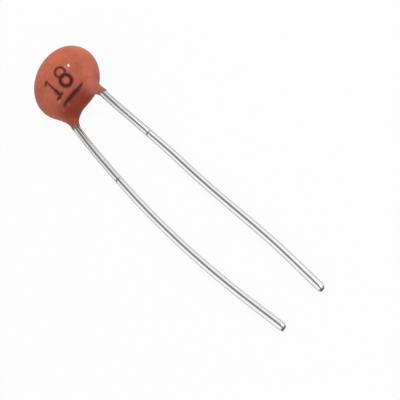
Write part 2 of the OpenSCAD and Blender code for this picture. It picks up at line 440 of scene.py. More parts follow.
@dataclass(frozen=True)
class BodyForm:
    """Form of the dipped body: a crowned disc cut straight at the web, with a neck on each wire.

    Inside it, the left wire runs under the wafer and the right one over it. Each is closest to
    the wafer at its edge, and leans toward mid-height as it leaves. A sleeve of resin keeps the
    skin closed over the wire within each neck.
    """

    left: LeadShape
    right: LeadShape
    body_d: float = 5.22
    body_w: float = 5.29
    rim_t: float = 1.86
    crown: float = 0.07
    back_flat: float = 0.03
    web_y: float = 2.47
    web_blend: float = 0.43
    neck_taper: float = 1.1
    neck_run_on: float = 1.5
    neck_wall: float = 0.04
    wire_film: float = 0.02
    sleeve_len: float = 2.0
    sleeve_blend: float = 0.05
    wafer_d: float = 4.3
    wafer_t: float = 0.25
    electrode_t: float = 0.02
    wire_gap: float = 0.02
    wire_d: float = pin_diameter(Side.RIGHT)
    wire_lean: float = 1.5
    wire_reach: float = 0.45
    lead_pitch: float = 3.25
    lead_shift: float = 0.1

    @property
    def body_r(self) -> float:
        """Radius of the disc along the leads."""
        return self.body_d / 2

    @property
    def body_reach(self) -> float:
        """Radius that holds the whole disc."""
        return max(self.body_d, self.body_w) / 2

    @property
    def rim_r(self) -> float:
        """Radius of the round rim."""
        return self.rim_t / 2

    @property
    def wire_r(self) -> float:
        """Radius of the wire."""
        return self.wire_d / 2

    @property
    def mid_z(self) -> float:
        """Height of the wafer's middle over the bench."""
        return self.rim_r + self.crown - self.back_flat

    @property
    def stack_h(self) -> float:
        """Height of a wire's axis over the wafer's middle, where it crosses the wafer's edge."""
        return self.wafer_t / 2 + self.electrode_t + self.wire_gap + self.wire_r

    def shape(self, side: Side) -> LeadShape:
        """The shape of one lead."""
        return self.right if side is Side.RIGHT else self.left

    def wire_heading(self, side: Side) -> np.ndarray:
        """Direction in which a wire leaves the body."""
        return heading(self.shape(side).splay, -side.value * self.wire_lean)

    def wire_point(self, side: Side, y: float) -> np.ndarray:
        """Point on the straight part of a wire's axis, level with y.

        Args:
            side: The lead.
            y: Where along the body.

        Returns:
            The point.
        """
        splay = math.radians(self.shape(side).splay)
        pitch_y = max(self.left.neck_y, self.right.neck_y)
        over_edge = (y + self.wafer_d / 2) / math.cos(splay) * math.tan(math.radians(self.wire_lean))
        return np.array([
            self.lead_shift + side.value * self.lead_pitch / 2 - (y + pitch_y) * math.tan(splay),
            y,
            self.mid_z + side.value * (self.stack_h + over_edge)])

    def neck_end(self, side: Side) -> np.ndarray:
        """Where the resin ends on a wire."""
        return self.wire_point(side, -self.shape(side).neck_y)

    def disc_field(self, p: np.ndarray) -> np.ndarray:
        """Distance outside the crowned disc.

        Args:
            p: Points, with their three numbers in the last axis.

        Returns:
            A distance for each point, below zero inside.
        """
        radius = np.hypot(p[..., 0] * self.body_d / self.body_w, p[..., 1])
        outline = soft_max(radius - self.body_r, -p[..., 1] - self.web_y, self.web_blend)
        half_t = self.rim_r + self.crown * np.maximum(1 - (radius / self.body_r) ** 2, 0)
        return np.hypot(np.maximum(outline + self.rim_r, 0), p[..., 2] - self.mid_z) - half_t

    def neck_field(self, p: np.ndarray, side: Side) -> np.ndarray:
        """Distance outside one neck, which tapers to a thin skin on its wire.

        Args:
            p: Points, with their three numbers in the last axis.
            side: The neck's lead.

        Returns:
            A distance for each point, below zero inside.
        """
        tip, ahead, shape = self.neck_end(side), self.wire_heading(side), self.shape(side)
        root = tip - self.neck_taper * ahead - np.array([side.value * shape.root_draw, 0, 0])
        along = tip - root
        t = np.clip((p - root) @ along / (along @ along), 0, self.neck_run_on)
        skin_r = self.wire_r + self.neck_wall
        r = skin_r + (shape.root_r - skin_r) * np.maximum(1 - t, 0) ** 2
        taper = np.linalg.norm(p - root - t[..., None] * along, axis=-1) - r
        t = np.clip((p - tip) @ ahead, -self.sleeve_len, self.neck_taper / 2)
        sleeve = np.linalg.norm(p - tip - t[..., None] * ahead, axis=-1) - self.wire_r
        return soft_min(taper, sleeve - self.wire_film, self.sleeve_blend)

    def field(self, p: np.ndarray) -> np.ndarray:
        """Distance outside the whole body, about zero on its skin."""
        with_left = soft_min(self.disc_field(p), self.neck_field(p, Side.LEFT), self.left.fillet)
        return soft_min(with_left, self.neck_field(p, Side.RIGHT), self.right.fillet)

    def skin_point(self, inside: np.ndarray, outside: np.ndarray, halvings: int = 22) -> np.ndarray:
        """Halves the way from points inside to points outside until it meets the skin.

        Args:
            inside: Points inside the body.
            outside: As many points outside it.
            halvings: How often the way is halved.

        Returns:
            A point on the skin for each pair.
        """
        inside, outside = np.broadcast_arrays(inside, outside)
        for _ in range(halvings):
            middle = (inside + outside) / 2
            within = (self.field(middle) < 0)[..., None]
            inside, outside = np.where(within, middle, inside), np.where(within, outside, middle)
        return inside


@dataclass(frozen=True)
class Pimple:
    """A small glossy ridge in the resin, with its middle at x and y on the printed face."""

    x: float
    y: float
    radius: float
    length: float
    rise: float
    gloss: float


@dataclass
class DippedCoating:
    """The resin body with its web, necks and the thin film that creeps along each wire.

    Its skin is a row of closed sections that fan out from neck to neck, packed closer where the
    two crowds say. Past each neck, a few more rings thin it out to a ragged end, and a rag wave
    is its lobes, size, shift by side and start. Swells and pimples are raised on that skin. Round
    a pimple glossier than moat_gloss, the resin sinks a little.
    """

    form: BodyForm
    sections: int = 380
    ring: int = 220
    face_crowd: float = 0.4
    shoulder_crowd: float = 5.0
    level_power: int = 3
    slack: float = 1.0
    least_cosine: float = 0.01
    film_rows: int = 10
    film_t: float = 0.006
    film_least: float = 0.02
    film_power: float = 1.5
    film_rag: float = 0.02
    rag_waves: tuple[tuple[int, float, float, float], ...] = (
        (3, 1.0, 1.0, 0.0), (7, 0.7, 0.0, 2.0), (13, 0.5, -1.0, 0.0))
    film_seat: float = 0.8
    off_wire_drop: float = 4.0
    least_creep: float = -3.0
    swell_depth: float = 0.022
    swell_scale: float = 0.55
    swell_detail: float = 1.0
    swell_level: float = 0.62
    swell_bench: Fade = Fade(0.0, 0.3)
    swell_creep: Fade = Fade(-0.6, -0.1, 1.0, 0.0)
    moat_reach: float = 3.0
    moat_slope: float = 0.43
    moat_gloss: float = 0.8
    gloss_from: float = 0.8
    gloss_to: float = 1.0
    gloss_spill: float = 0.6
    pimples: tuple[Pimple, ...] = (
        Pimple(1.13, 0.00, 0.12, 0.16, 0.68, 1.0), Pimple(0.93, 0.16, 0.08, 0.08, 0.66, 1.0),
        Pimple(-0.87, -1.50, 0.12, 0.12, 0.62, 0.79), Pimple(-0.56, -2.11, 0.10, 0.06, 0.66, 0.75),
        Pimple(-1.12, -2.04, 0.10, 0.07, 0.66, 0.75))
    ridge_run: Span = (0.54, 0.84)

    def fan_rings(self) -> np.ndarray:
        """Closed sections of the skin in upright half planes that fan out between the necks.

        Returns:
            Points by section, from the right neck over the disc to the left one, and by place
            round the section.
        """
        form = self.form
        right, left = form.neck_end(Side.RIGHT), form.neck_end(Side.LEFT)
        pivot = (right + left) / 2
        tilt = math.atan2(right[1] - pivot[1], right[0] - pivot[0])
        half_span = math.hypot(right[0] - pivot[0], right[1] - pivot[1])
        reach = -pivot[1]
        share = np.arange(self.sections + 1) / self.sections
        fan = np.radians(180 * share + self.shoulder_crowd * np.sin(4 * math.pi * share))
        end_z = np.where(np.cos(fan) > 0, right[2], left[2])
        z = form.mid_z + (end_z - form.mid_z) * np.abs(np.cos(fan)) ** self.level_power

        def fan_point(s: np.ndarray, at_z: np.ndarray, angle: np.ndarray) -> np.ndarray:
            """Points of the half planes at a distance from the pivot and a height."""
            return np.stack(np.broadcast_arrays(pivot[0] + s * np.cos(angle + tilt),
                                                pivot[1] + s * np.sin(angle + tilt), at_z), -1)

        foot = fan_point(np.zeros_like(fan), z, fan)
        cosine = np.maximum(np.abs(np.cos(fan)), self.least_cosine)
        middle = fan_point(np.minimum(half_span / cosine, reach), z, fan)
        beyond = fan_point(np.full_like(fan, reach + form.body_reach + self.slack), z, fan)
        near = np.linalg.norm(form.skin_point(middle, foot) - foot, axis=-1)[:, None]
        far = np.linalg.norm(form.skin_point(middle, beyond) - foot, axis=-1)[:, None]
        core = np.maximum((far - near) / 2 - form.rim_r, 0)
        even = 2 * math.pi * np.arange(self.ring) / self.ring
        round_it = even + self.face_crowd * np.sin(2 * even) / 2
        s = (near + far) / 2 + core * np.cos(round_it)
        throw = form.rim_r + self.slack
        inside = fan_point(s, z[:, None], fan[:, None])
        outside = fan_point(s + throw * np.cos(round_it),
                            z[:, None] + throw * np.sin(round_it), fan[:, None])
        skin = form.skin_point(inside, outside)
        skin[..., 2] = np.maximum(skin[..., 2], 0)
        return skin

    def film_rings(self, side: Side, edge: np.ndarray) -> list[np.ndarray]:
        """Rings that carry the resin on along a wire as a film with a ragged end.

        Args:
            side: The lead.
            edge: The ring in which the neck ends.

        Returns:
            The rings in order, the last one sealed inside the wire.
        """
        form = self.form
        along, end = form.wire_heading(side), form.neck_end(side)
        ahead = (edge - end) @ along
        spoke = edge - end - ahead[:, None] * along
        start_r = np.linalg.norm(spoke, axis=1)
        spoke = spoke / start_r[:, None]
        turn = 2 * math.pi * np.arange(self.ring) / self.ring
        wave = sum(size * np.sin(lobes * turn + by_side * side.value + start)
                   for lobes, size, by_side, start in self.rag_waves)
        film = form.shape(side).film
        reach = film.length + film.lean * np.cos(turn - math.radians(film.lean_turn))
        reach = np.maximum(reach + self.film_rag * wave / 2, self.film_least)
        thin_r = form.wire_r + self.film_t
        rings = []
        for row in range(1, self.film_rows + 1):
            s = row / self.film_rows
            r = thin_r + (start_r - thin_r) * (1 - s) ** self.film_power
            rings.append(end + (ahead + reach * s)[:, None] * along + spoke * r[:, None])
        sealed = spoke * form.wire_r * self.film_seat
        rings.append(end + (ahead + reach)[:, None] * along + sealed)
        return rings

    def creep(self, points: np.ndarray) -> np.ndarray:
        """How far the resin at each point has crept past the end of the nearer neck.

        Args:
            points: The points.

        Returns:
            A length for each point, below zero on the body.
        """
        past = []
        for side in Side:
            along = self.form.wire_heading(side)
            spoke = points - self.form.neck_end(side)
            ahead = spoke @ along
            off = np.linalg.norm(spoke - ahead[:, None] * along, axis=1)
            beside = np.maximum(off - self.form.shape(side).root_r, 0)
            past.append(ahead - self.off_wire_drop * beside)
        return np.maximum(np.maximum(*past), self.least_creep)

    def pimple_cloud(self) -> Object:
        """Marks each pimple's place with a short line on the skin.

        Returns:
            The lines, whose ends hold the pimple's radius in metres, rise and gloss.
        """
        flat = np.array([[p.x, p.y, self.form.mid_z]
                         + end * p.length / 2 * np.array([*self.ridge_run, 0])
                         for p in self.pimples for end in (-1, 1)])
        over = flat + np.array([0, 0, self.form.rim_t])
        lines = [(2 * i, 2 * i + 1) for i in range(len(self.pimples))]
        cloud = mesh_object("pimple_places", self.form.skin_point(flat, over), edges=lines)
        for name, values in (("radius", [p.radius * MM for p in self.pimples]),
                             ("rise", [p.rise for p in self.pimples]),
                             ("shine", [p.gloss for p in self.pimples])):
            add_attribute(cloud, name, np.repeat(values, 2))
        return cloud

    def skin_tree(self, cloud: Object, finish: Material) -> GeometryTree:
        """Geometry tree that swells the smooth skin and raises its pimples.

        Args:
            cloud: The pimples' places.
            finish: The resin.

        Returns:
            The tree.
        """
        tree = GeometryTree("Resin skin")
        tree.add_input("Finish", "NodeSocketMaterial", finish)
        tree.add_input("Pimples", "NodeSocketObject", cloud)
        tree.add_input("Swell depth", "NodeSocketFloat", self.swell_depth * MM)
        tree.add_input("Swells a millimetre", "NodeSocketFloat", self.swell_scale)
        tree.add_input("Pimple rise", "NodeSocketFloat", 1.0)
        place = tree.vector("SCALE", tree.out("GeometryNodeInputPosition"), scale=1 / MM)
        off_bench = tree.band(tree.split(place)[2], *self.swell_bench)
        on_body = tree.band(tree.read("creep"), *self.swell_creep)
        level = tree.noise(place, tree.taken("Swells a millimetre"), self.swell_detail)
        swell = tree.times(tree.math("SUBTRACT", level, self.swell_level),
                           tree.taken("Swell depth"))
        points = tree.node("GeometryNodeObjectInfo",
                           {"Object": tree.taken("Pimples")}).outputs["Geometry"]
        gap = tree.node("GeometryNodeProximity", {0: points}, target_element="EDGES")
        nearest = tree.out("GeometryNodeSampleNearest", {"Geometry": points})
        size, steepness, shine = (
            tree.out("GeometryNodeSampleIndex",
                     {"Geometry": points, "Index": nearest, "Value": tree.read(name)})
            for name in ("radius", "rise", "shine"))
        away = tree.math("DIVIDE", gap.outputs["Distance"], size)
        deep = tree.math("GREATER_THAN", shine, self.moat_gloss)
        moat = tree.times(tree.math("SUBTRACT", away, self.moat_reach), self.moat_slope)
        moat = tree.times(tree.math("MINIMUM", moat, 0.0), deep)
        bulge = tree.math("MAXIMUM", tree.math("SUBTRACT", 1.0, away), moat)
        rise = tree.times(tree.times(bulge, size),
                          tree.times(steepness, tree.taken("Pimple rise")))
        shift = tree.math("MULTIPLY_ADD", swell, tree.times(off_bench, on_body), rise)
        moved = tree.out("GeometryNodeSetPosition", {
            "Geometry": tree.taken("Geometry"),
            "Offset": tree.vector("SCALE", tree.out("GeometryNodeInputNormal"), scale=shift)})
        foot = tree.math("MULTIPLY_ADD", deep, self.gloss_spill, self.gloss_to)
        gloss = tree.times(tree.band(away, self.gloss_from, foot, 1.0, 0.0), shine)
        tree.finish(tree.out("GeometryNodeSetShadeSmooth",
                             {"Geometry": tree.store(moved, "gloss", gloss)}))
        return tree

    def build(self, finish: Material) -> Object:
        """Makes the coating as one closed shell in place of its CAD node.

        Args:
            finish: The resin.

        Returns:
            The finished piece.
        """
        fan = self.fan_rings()
        rings = ([*reversed(self.film_rings(Side.RIGHT, fan[0]))] + list(fan)
                 + self.film_rings(Side.LEFT, fan[-1]))
        points = np.concatenate(rings)
        n, last = self.ring, len(rings) - 1
        faces = [(i * n + k, (i + 1) * n + k, (i + 1) * n + (k + 1) % n, i * n + (k + 1) % n)
                 for i in range(last) for k in range(n)]
        faces += [tuple(range(n)), tuple(last * n + k for k in reversed(range(n)))]
        shell = mesh_object("dipped_coating", points, faces)
        add_attribute(shell, "creep", self.creep(points))
        cloud = self.pimple_cloud()
        piece = self.skin_tree(cloud, finish).run(shell)
        bpy.data.objects.remove(cloud)
        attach(piece, "root")
        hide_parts("coating")
        return piece


@dataclass
class Lead:
    """One tinned wire lead: straight in the body, bent down to the bench, sheared at its tip.

    The shear pinches the wire toward its upper side, draws it in, and may leave a burr on one
    side. The nick is a shallow dent across its top, given by how far past the neck it is.
    """

    form: BodyForm
    shape: LeadShape
    nick_at: float
    burr: float
    drop_bend_len: float = 1.8
    land_bend_len: float = 3.0
    tip_len: float = 2.5
    neck_stub: float = 0.2
    step: float = 0.06
    sides: int = 40
    nick_depth: float = 0.004
    nick_len: float = 0.14
    nick_facing: Fade = Fade(0.3, 1.0)
    shear_len: float = 0.30
    pinch: float = 0.60
    pinch_to: float = 0.8
    pinch_power: float = 1.6
    flare: float = -0.40
    burr_side_power: float = 3.0
    burr_tip_power: float = 4.0
    cut_fold: float = 0.7
    unevenness: float = 0.004
    uneven_scale: float = 0.9
    uneven_detail: float = 1.0

    def bends(self) -> list[Triple]:
        """Steps of the formed lead past its neck.

        Returns:
            The length of each step, its turn toward +X and its change of rise.
        """
        form, shape = self.form, self.shape
        lean = -shape.side.value * form.wire_lean
        start_z = form.neck_end(shape.side)[2] + self.neck_stub * math.sin(math.radians(lean))
        drop = self.climb(self.drop_bend_len, lean, -shape.slope)
        land = self.climb(self.land_bend_len, -shape.slope, 0)
        slope_len = (start_z + drop + land - form.wire_r) / math.sin(math.radians(shape.slope))
        share = slope_len / (slope_len + self.land_bend_len)
        bench = (shape.length - self.neck_stub - self.drop_bend_len - slope_len
                 - self.land_bend_len - self.tip_len)
        first, last = shape.bench_bends[0], shape.bench_bends[-1]
        steps = [(self.neck_stub, 0, 0), (self.drop_bend_len, 0, -lean - shape.slope),
                 (slope_len, shape.drift * share, 0),
                 (self.land_bend_len, shape.drift * (1 - share), shape.slope)]
        if len(shape.bench_bends) == 1:
            steps.append((bench, first[1], 0))
        else:
            steps += [(first[0], first[1], 0), (bench - first[0] - last[0], 0, 0),
                      (last[0], last[1], 0)]
        return steps + [(self.tip_len, 0, 0)]

    @staticmethod
    def climb(length: float, start: float, end: float) -> float:
        """Height gained along a bend in which the rise changes steadily."""
        low, high = math.radians(start), math.radians(end)
        return length * (math.cos(low) - math.cos(high)) / (high - low)

    def route(self) -> tuple[np.ndarray, np.ndarray]:
        """Walks the wire's axis from its inner end to its tip.

        Returns:
            The points, and how far past the neck each one lies.
        """
        form, side = self.form, self.shape.side
        inner, neck = form.wire_point(side, form.wire_reach), form.neck_end(side)
        buried = float(np.linalg.norm(neck - inner))
        turn, rise = self.shape.splay, -side.value * form.wire_lean
        points, along = [inner], [-buried]
        for length, by_turn, by_rise in [(buried, 0, 0), *self.bends()]:
            n = max(1, math.ceil(length / self.step))
            bend = math.radians(math.hypot(by_turn, by_rise)) / n
            hop = length / n
            chord = hop * math.sin(bend / 2) / (bend / 2) if bend else hop
            for _ in range(n):
                points.append(points[-1] + chord * heading(turn + by_turn / n / 2,
                                                           rise + by_rise / n / 2))
                along.append(along[-1] + hop)
                turn, rise = turn + by_turn / n, rise + by_rise / n
        return np.array(points), np.array(along)

    def wire_tree(self, finish: Material) -> GeometryTree:
        """Geometry tree that draws round wire along a route, nicks it and shears its tip.

        Args:
            finish: The tinned metal.

        Returns:
            The tree.
        """
        tree = GeometryTree("Drawn wire")
        tree.add_input("Finish", "NodeSocketMaterial", finish)
        for name, value in (("Radius", self.form.wire_r), ("Shear at", self.shape.length),
                            ("Shear length", self.shear_len), ("Nick at", self.nick_at),
                            ("Nick length", self.nick_len)):
            tree.add_input(name, "NodeSocketFloat", value)
        for name, value in (("Nick depth", self.nick_depth), ("Burr", self.burr),
                            ("Unevenness", self.unevenness)):
            tree.add_input(name, "NodeSocketFloat", value * MM)
        tree.add_input("Pinch", "NodeSocketFloat", self.pinch)
        tree.add_input("Flare", "NodeSocketFloat", self.flare)
        place = tree.out("GeometryNodeInputPosition")
        curve = tree.out("GeometryNodeMeshToCurve", {0: tree.taken("Geometry")})
        curve = tree.out("GeometryNodeSetCurveNormal", {0: curve}, mode="Z_UP")
        frames = {"axis_at": place, "ahead": tree.out("GeometryNodeInputTangent")}
        for name, value in frames.items():
            curve = tree.store(curve, name, value, "FLOAT_VECTOR")
        circle = tree.out("GeometryNodeCurvePrimitiveCircle", {
            "Resolution": self.sides, "Radius": tree.times(tree.taken("Radius"), MM)})
        around = tree.math("DIVIDE", tree.out("GeometryNodeInputIndex"), float(self.sides))
        wire = tree.out("GeometryNodeCurveToMesh", {
            "Curve": curve, "Profile Curve": tree.store(circle, "around", around),
            "Fill Caps": True})
        offset, cut, dent = self.wire_marks(tree, place)
        wire = tree.out("GeometryNodeSetPosition", {"Geometry": wire, "Offset": offset})
        wire = tree.store(tree.store(wire, "cut", cut), "dent", dent)
        for name in frames:
            wire = tree.out("GeometryNodeRemoveAttribute", {"Geometry": wire, "Name": name})
        wire = tree.out("GeometryNodeSetShadeSmooth", {"Geometry": wire})
        crease = tree.math("GREATER_THAN", tree.out("GeometryNodeInputMeshEdgeAngle"),
                           self.cut_fold)
        tree.finish(tree.out("GeometryNodeSetShadeSmooth", {
            "Geometry": wire, "Selection": crease, "Shade Smooth": False}, domain="EDGE"))
        return tree

    def wire_marks(self, tree: GeometryTree, place: Socket) -> tuple[Socket, Socket, Socket]:
        """Adds the nodes that turn plain round wire into nicked, sheared and slightly uneven wire.

        Args:
            tree: The tree.
            place: Each point's place.

        Returns:
            How far each point moves, and how much it belongs to the cut and to the nick.
        """
        axis_at, ahead = (tree.read(name, "FLOAT_VECTOR") for name in ("axis_at", "ahead"))
        along = tree.read("along")
        spoke = tree.vector("SUBTRACT", place, axis_at)
        unit = tree.vector("NORMALIZE", spoke)
        across = tree.vector("NORMALIZE", tree.vector("CROSS_PRODUCT", ahead, (0.0, 0.0, 1.0)))
        upward = tree.vector("CROSS_PRODUCT", across, ahead)

        to_tip = tree.math("SUBTRACT", tree.taken("Shear at"), along)
        cut = tree.math("SUBTRACT", 1.0, tree.math("DIVIDE", to_tip, tree.taken("Shear length")),
                        clamp=True)
        bite = tree.math("POWER", cut, self.pinch_power)
        bed = tree.times(tree.times(tree.taken("Radius"), MM), self.pinch_to)
        height = tree.math("SUBTRACT", tree.vector("DOT_PRODUCT", spoke, upward), bed)
        squeeze = tree.times(tree.times(bite, tree.taken("Pinch")), height)
        spread = tree.times(tree.times(bite, tree.taken("Flare")),
                            tree.vector("DOT_PRODUCT", spoke, across))
        beside = tree.math("MAXIMUM", tree.vector("DOT_PRODUCT", unit, across), 0.0)
        lip = tree.times(tree.times(tree.math("POWER", beside, self.burr_side_power),
                                    tree.taken("Burr")),
                         tree.math("POWER", cut, self.burr_tip_power))
        down = tree.vector("SCALE", upward, scale=tree.times(squeeze, -1.0))
        sheared = tree.vector("ADD", down, tree.vector(
            "SCALE", across, scale=tree.math("ADD", spread, lip)))

        from_nick = tree.math("ABSOLUTE", tree.math("SUBTRACT", along, tree.taken("Nick at")))
        from_nick = tree.math("DIVIDE", from_nick, tree.taken("Nick length"))
        facing = tree.band(tree.vector("DOT_PRODUCT", unit, upward), *self.nick_facing)
        dent = tree.times(tree.band(from_nick, 0.0, 1.0, 1.0, 0.0), facing)

        waves = tree.out("ShaderNodeTexNoise", {
            "W": along, "Scale": self.uneven_scale, "Detail": self.uneven_detail},
            noise_dimensions="1D")
        wave = tree.times(tree.math("SUBTRACT", waves, 0.5), tree.taken("Unevenness"))
        outward = tree.math("SUBTRACT", wave, tree.times(dent, tree.taken("Nick depth")))
        moved = tree.vector("ADD", sheared, tree.vector("SCALE", unit, scale=outward))
        return moved, cut, dent

    def build(self, finish: Material) -> Object:
        """Makes the lead in place of its CAD node.

        Args:
            finish: The tinned metal.

        Returns:
            The finished piece.
        """
        node = f"{self.shape.side.name.lower()}_lead"
        points, along = self.route()
        pairs = [(i, i + 1) for i in range(len(points) - 1)]
        wire = mesh_object(f"{node}_wire", points, edges=pairs)
        add_attribute(wire, "along", along)
        piece = self.wire_tree(finish).run(wire)
        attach(piece, "root")
        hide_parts(node)
        return piece


@dataclass(frozen=True)
class Stroke:
    """A straight line of ink on the printed face."""

    start: Span
    end: Span
    width: float


@dataclass(frozen=True)
class Loop:
    """A tall round line of ink on the printed face, leaning off +Y by some degrees."""

    centre: Span
    radius: float
    width: float
    squash: float = 0.72
    lean: float = 18.0


@dataclass(frozen=True)
class InkStamp:
    """The plain value stamped on the face, with its bar, in soft-edged ink."""

    strokes: tuple[Stroke, ...] = (
        Stroke((-0.77, 0.58), (-0.70, -0.15), 0.12), Stroke((-0.70, -0.15), (-0.63, -0.65), 0.16),
        Stroke((-0.63, -0.65), (-0.57, -1.10), 0.25), Stroke((-0.83, 0.52), (-0.96, 0.42), 0.22),
        Stroke((-0.40, -1.22), (-0.84, -1.31), 0.26),
        Stroke((1.09, -1.99), (0.83, -1.95), 0.24), Stroke((0.83, -1.95), (0.43, -1.92), 0.25),
        Stroke((0.43, -1.92), (-0.28, -1.92), 0.26), Stroke((-0.28, -1.92), (-0.62, -1.91), 0.20),
        Stroke((-0.62, -1.91), (-0.84, -1.92), 0.13))
    loops: tuple[Loop, ...] = (Loop((0.41, 0.14), 0.345, 0.16), Loop((0.41, -0.73), 0.38, 0.27))
    softness: float = 0.10
    wander: float = 0.05
    wander_scale: float = 3.0
    wander_detail: float = 2.0
    worn: Grain = Grain(5.0, 3.0, Fade(0.25, 0.5, 0.8, 1.0))
    least_z: float = 1.2
    colour: Triple = (0.034, 0.002, 0.001)
    cover: float = 0.97

    def cover_on(self, graph: Graph, place: Socket) -> Socket:
        """Adds the nodes that say how much ink covers each place.

        Args:
            graph: The resin's graph.
            place: Place on the part in millimetres.

        Returns:
            The cover, from 0 to 1.
        """
        x, y, z = graph.split(place)
        drift = graph.node("ShaderNodeTexNoise", {
            "Vector": graph.join(x, y), "Scale": self.wander_scale,
            "Detail": self.wander_detail})
        shift = graph.vector("SUBTRACT", drift.outputs["Color"], (0.5, 0.5, 0.5))
        dx, dy, _ = graph.split(graph.vector("SCALE", shift, scale=self.wander))
        flat = graph.join(graph.math("ADD", x, dx), graph.math("ADD", y, dy))
        lines = [self.from_stroke(graph, flat, stroke) for stroke in self.strokes]
        lines += [self.from_loop(graph, flat, loop) for loop in self.loops]
        nearest = reduce(lambda a, b: graph.math("MINIMUM", a, b), lines)
        shape = graph.band(nearest, -self.softness, self.softness, 1.0, 0.0)
        printed_side = graph.math("GREATER_THAN", z, self.least_z)
        return graph.times(graph.times(shape, graph.grain(flat, self.worn)),
                           graph.times(printed_side, self.cover))

    @staticmethod
    def from_stroke(graph: Graph, flat: Socket, stroke: Stroke) -> Socket:
        """Distance outside a straight line of ink.

        Args:
            graph: The resin's graph.
            flat: Place on the face.
            stroke: The line.

        Returns:
            The distance.
        """
        (x0, y0), (x1, y1) = stroke.start, stroke.end
        run = (x1 - x0, y1 - y0, 0.0)
        length_2 = run[0] ** 2 + run[1] ** 2
        from_start = graph.vector("SUBTRACT", flat, (x0, y0, 0.0))
        share = graph.math("DIVIDE", graph.vector("DOT_PRODUCT", from_start, run), length_2,
                           clamp=True)
        foot = graph.vector("SCALE", run, scale=share)
        return graph.math("SUBTRACT", graph.vector("DISTANCE", from_start, foot), stroke.width / 2)

    @staticmethod
    def from_loop(graph: Graph, flat: Socket, loop: Loop) -> Socket:
        """Distance outside a round line of ink.

        Args:
            graph: The resin's graph.
            flat: Place on the face.
            loop: The line.

        Returns:
            The distance.
        """
        spoke = graph.vector("SUBTRACT", flat, (*loop.centre, 0.0))
        c, s = math.cos(math.radians(loop.lean)), math.sin(math.radians(loop.lean))
        rows = ((c, s, 0.0), (-s * loop.squash, c * loop.squash, 0.0))
        turned = graph.join(*(graph.vector("DOT_PRODUCT", spoke, row) for row in rows))
        off = graph.math("SUBTRACT", graph.vector("LENGTH", turned), loop.radius)
        return graph.math("SUBTRACT", graph.math("ABSOLUTE", off), loop.width / 2)


@dataclass(frozen=True)
class PaintedLightPool:
    """A slow patch of painted light in the resin's tone, or of painted shade where the shift is
    negative.
    """

    place: Triple
    radius: float
    shift: float


